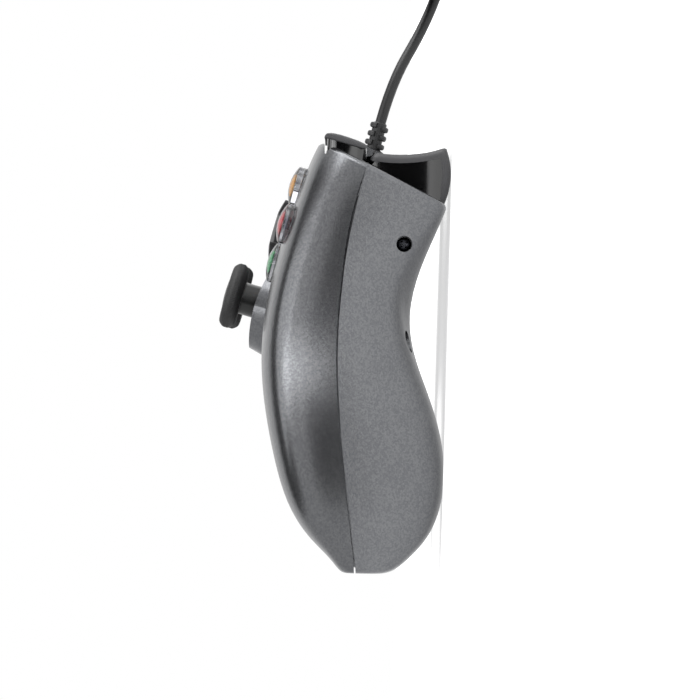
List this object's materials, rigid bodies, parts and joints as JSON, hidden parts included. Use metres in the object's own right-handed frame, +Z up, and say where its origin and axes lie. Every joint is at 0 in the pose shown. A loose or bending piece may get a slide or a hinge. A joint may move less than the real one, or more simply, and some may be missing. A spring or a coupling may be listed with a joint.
{
  "type": "gamepad",
  "caption": "Wired gamepad with two thumbsticks, a dished cross pad, clear domed face buttons, hinged triggers, bumpers, vibration motors and a cord with a plug.",
  "frame": {"origin": "centre of the pad's footprint on the table, under the middle of the shells", "axes": "+X towards the player's right hand, +Y towards the shoulder buttons and the cord, +Z up, out of the face, with the pad lying on its back"},
  "size_m": [0.1554, 0.2326, 0.0566],
  "materials": {
    "shell": "fine grained satin",
    "gloss_black": "polished",
    "matte_black": "fine grained satin",
    "clear_acrylic": "polished clear",
    "core_green": "moulded colour",
    "core_red": "moulded colour",
    "core_blue": "moulded colour",
    "core_amber": "moulded colour",
    "dpad": "satin",
    "menu_key": "satin",
    "light_pipe": "frosted",
    "stick_rubber": "matte",
    "cord_rubber": "matte",
    "silicone": "matte",
    "plug_plastic": "satin",
    "plug_steel": "nickel plated",
    "steel": "plain",
    "circuit_board": "lacquered",
    "inner_plastic": "plain"
  },
  "bodies": {
    "pad": {"front_shell": "shell", "rear_shell": "shell", "main_board": "circuit_board", "face_button_membrane": "silicone", "dpad_membrane": "silicone", "menu_membrane": "silicone", "light_pipes": "light_pipe", "dpad_pivot": "inner_plastic", "cable_gland": "cord_rubber", "cable_header": "inner_plastic", "cord": "cord_rubber", "cord_coil": "cord_rubber", "coil_tie": "cord_rubber", "usb_plug_grip": "plug_plastic", "usb_plug_shell": "plug_steel", "left_stick_housing": "inner_plastic", "left_stick_sensors": "inner_plastic", "left_trigger_pin": "steel", "left_trigger_spring": "steel", "left_shoulder_board": "circuit_board", "left_shoulder_plunger": "silicone", "left_motor": "steel", "right_stick_housing": "inner_plastic", "right_stick_sensors": "inner_plastic", "right_trigger_pin": "steel", "right_trigger_spring": "steel", "right_shoulder_board": "circuit_board", "right_shoulder_plunger": "silicone", "right_motor": "steel"},
    "top_button": {"top_button_lens": "clear_acrylic", "top_button_core": "core_amber"},
    "right_button": {"right_button_lens": "clear_acrylic", "right_button_core": "core_red"},
    "bottom_button": {"bottom_button_lens": "clear_acrylic", "bottom_button_core": "core_green"},
    "left_button": {"left_button_lens": "clear_acrylic", "left_button_core": "core_blue"},
    "select_key": {"select_button": "menu_key"},
    "start_key": {"start_button": "menu_key"},
    "home_key": {"home_button": "menu_key"},
    "dpad_rocker": {"dpad_ring": "inner_plastic"},
    "dpad": {"dpad_cap": "dpad"},
    "left_stick_carrier": {"left_stick_carrier": "inner_plastic"},
    "left_stick_post": {"left_stick_post": "inner_plastic"},
    "left_thumbstick": {"left_stick_stem": "gloss_black", "left_stick_cap": "stick_rubber"},
    "left_stick_arch": {"left_stick_arch": "inner_plastic"},
    "left_trigger": {"left_trigger": "gloss_black"},
    "left_bumper": {"left_bumper_cap": "matte_black", "left_bumper_skirt": "gloss_black"},
    "left_motor_weight": {"left_motor_weight": "steel"},
    "right_stick_carrier": {"right_stick_carrier": "inner_plastic"},
    "right_stick_post": {"right_stick_post": "inner_plastic"},
    "right_thumbstick": {"right_stick_stem": "gloss_black", "right_stick_cap": "stick_rubber"},
    "right_stick_arch": {"right_stick_arch": "inner_plastic"},
    "right_trigger": {"right_trigger": "gloss_black"},
    "right_bumper": {"right_bumper_cap": "matte_black", "right_bumper_skirt": "gloss_black"},
    "right_motor_weight": {"right_motor_weight": "steel"}
  },
  "joints": [
    {"name": "top_button_press", "type": "slide", "parent": "pad", "child": "top_button", "axis": [0, -0.2504, -0.9681], "range_m": [0, 0.0015], "stiffness_N_per_m": 400, "deforming": ["face_button_membrane"]},
    {"name": "right_button_press", "type": "slide", "parent": "pad", "child": "right_button", "axis": [0, -0.2504, -0.9681], "range_m": [0, 0.0015], "stiffness_N_per_m": 400, "deforming": ["face_button_membrane"]},
    {"name": "bottom_button_press", "type": "slide", "parent": "pad", "child": "bottom_button", "axis": [0, -0.2504, -0.9681], "range_m": [0, 0.0015], "stiffness_N_per_m": 400, "deforming": ["face_button_membrane"]},
    {"name": "left_button_press", "type": "slide", "parent": "pad", "child": "left_button", "axis": [0, -0.2504, -0.9681], "range_m": [0, 0.0015], "stiffness_N_per_m": 400, "deforming": ["face_button_membrane"]},
    {"name": "select_button_press", "type": "slide", "parent": "pad", "child": "select_key", "axis": [0, -0.2504, -0.9681], "range_m": [0, 0.0007], "stiffness_N_per_m": 700, "deforming": ["menu_membrane"]},
    {"name": "start_button_press", "type": "slide", "parent": "pad", "child": "start_key", "axis": [0, -0.2504, -0.9681], "range_m": [0, 0.0007], "stiffness_N_per_m": 700, "deforming": ["menu_membrane"]},
    {"name": "home_button_press", "type": "slide", "parent": "pad", "child": "home_key", "axis": [0, -0.2504, -0.9681], "range_m": [0, 0.0007], "stiffness_N_per_m": 700, "deforming": ["menu_membrane"]},
    {"name": "dpad_up_down", "type": "hinge", "parent": "pad", "child": "dpad_rocker", "pos_m": [-0.047, 0.02896, 0.03168], "axis": [1, 0, 0], "range_deg": [-4, 4], "stiffness_Nm_per_rad": 0.13, "deforming": ["dpad_membrane"]},
    {"name": "dpad_left_right", "type": "hinge", "parent": "dpad_rocker", "child": "dpad", "pos_m": [-0.047, 0.02954, 0.0339], "axis": [0, 0.9681, -0.2504], "range_deg": [-4, 4], "stiffness_Nm_per_rad": 0.13, "deforming": ["dpad_membrane"]},
    {"name": "left_stick_up_down", "type": "hinge", "parent": "pad", "child": "left_stick_carrier", "pos_m": [-0.024, 0.00908, 0.03609], "axis": [1, 0, 0], "range_deg": [-16, 16], "stiffness_Nm_per_rad": 0.04},
    {"name": "left_stick_left_right", "type": "hinge", "parent": "left_stick_carrier", "child": "left_stick_post", "pos_m": [-0.024, 0.00908, 0.03609], "axis": [0, 0.9681, -0.2504], "range_deg": [-16, 16], "stiffness_Nm_per_rad": 0.04},
    {"name": "left_stick_click", "type": "slide", "parent": "left_stick_post", "child": "left_thumbstick", "axis": [0, -0.2504, -0.9681], "range_m": [0, 0.0005], "stiffness_N_per_m": 4000},
    {"name": "left_stick_arch_turn", "type": "hinge", "parent": "pad", "child": "left_stick_arch", "pos_m": [-0.024, 0.00908, 0.03609], "axis": [0, 0.9681, -0.2504], "range_deg": [-16, 16]},
    {"name": "left_trigger_pull", "type": "hinge", "parent": "pad", "child": "left_trigger", "pos_m": [-0.0465, 0.0437, 0.0178], "axis": [-1, 0, 0], "range_deg": [0, 18], "stiffness_Nm_per_rad": 0.11, "springref_deg": -4.58, "deforming": ["left_trigger_spring"]},
    {"name": "left_bumper_press", "type": "slide", "parent": "pad", "child": "left_bumper", "axis": [0, -0.8994, 0.4371], "range_m": [0, 0.0009], "stiffness_N_per_m": 1600, "deforming": ["left_shoulder_plunger"]},
    {"name": "left_motor_spin", "type": "hinge", "parent": "pad", "child": "left_motor_weight", "pos_m": [-0.0659, -0.0205, 0.021], "axis": [1, 0, 0], "continuous": true},
    {"name": "right_stick_up_down", "type": "hinge", "parent": "pad", "child": "right_stick_carrier", "pos_m": [0.024, 0.00908, 0.03609], "axis": [1, 0, 0], "range_deg": [-16, 16], "stiffness_Nm_per_rad": 0.04},
    {"name": "right_stick_left_right", "type": "hinge", "parent": "right_stick_carrier", "child": "right_stick_post", "pos_m": [0.024, 0.00908, 0.03609], "axis": [0, 0.9681, -0.2504], "range_deg": [-16, 16], "stiffness_Nm_per_rad": 0.04},
    {"name": "right_stick_click", "type": "slide", "parent": "right_stick_post", "child": "right_thumbstick", "axis": [0, -0.2504, -0.9681], "range_m": [0, 0.0005], "stiffness_N_per_m": 4000},
    {"name": "right_stick_arch_turn", "type": "hinge", "parent": "pad", "child": "right_stick_arch", "pos_m": [0.024, 0.00908, 0.03609], "axis": [0, 0.9681, -0.2504], "range_deg": [-16, 16]},
    {"name": "right_trigger_pull", "type": "hinge", "parent": "pad", "child": "right_trigger", "pos_m": [0.0465, 0.0437, 0.0178], "axis": [-1, 0, 0], "range_deg": [0, 18], "stiffness_Nm_per_rad": 0.11, "springref_deg": -4.58, "deforming": ["right_trigger_spring"]},
    {"name": "right_bumper_press", "type": "slide", "parent": "pad", "child": "right_bumper", "axis": [0, -0.8994, 0.4371], "range_m": [0, 0.0009], "stiffness_N_per_m": 1600, "deforming": ["right_shoulder_plunger"]},
    {"name": "right_motor_spin", "type": "hinge", "parent": "pad", "child": "right_motor_weight", "pos_m": [0.0659, -0.0205, 0.021], "axis": [1, 0, 0], "continuous": true}
  ],
  "couplings": [
    {"joint": "left_stick_arch_turn", "follows": "left_stick_left_right", "ratio": 1},
    {"joint": "right_stick_arch_turn", "follows": "right_stick_left_right", "ratio": 1}
  ]
}
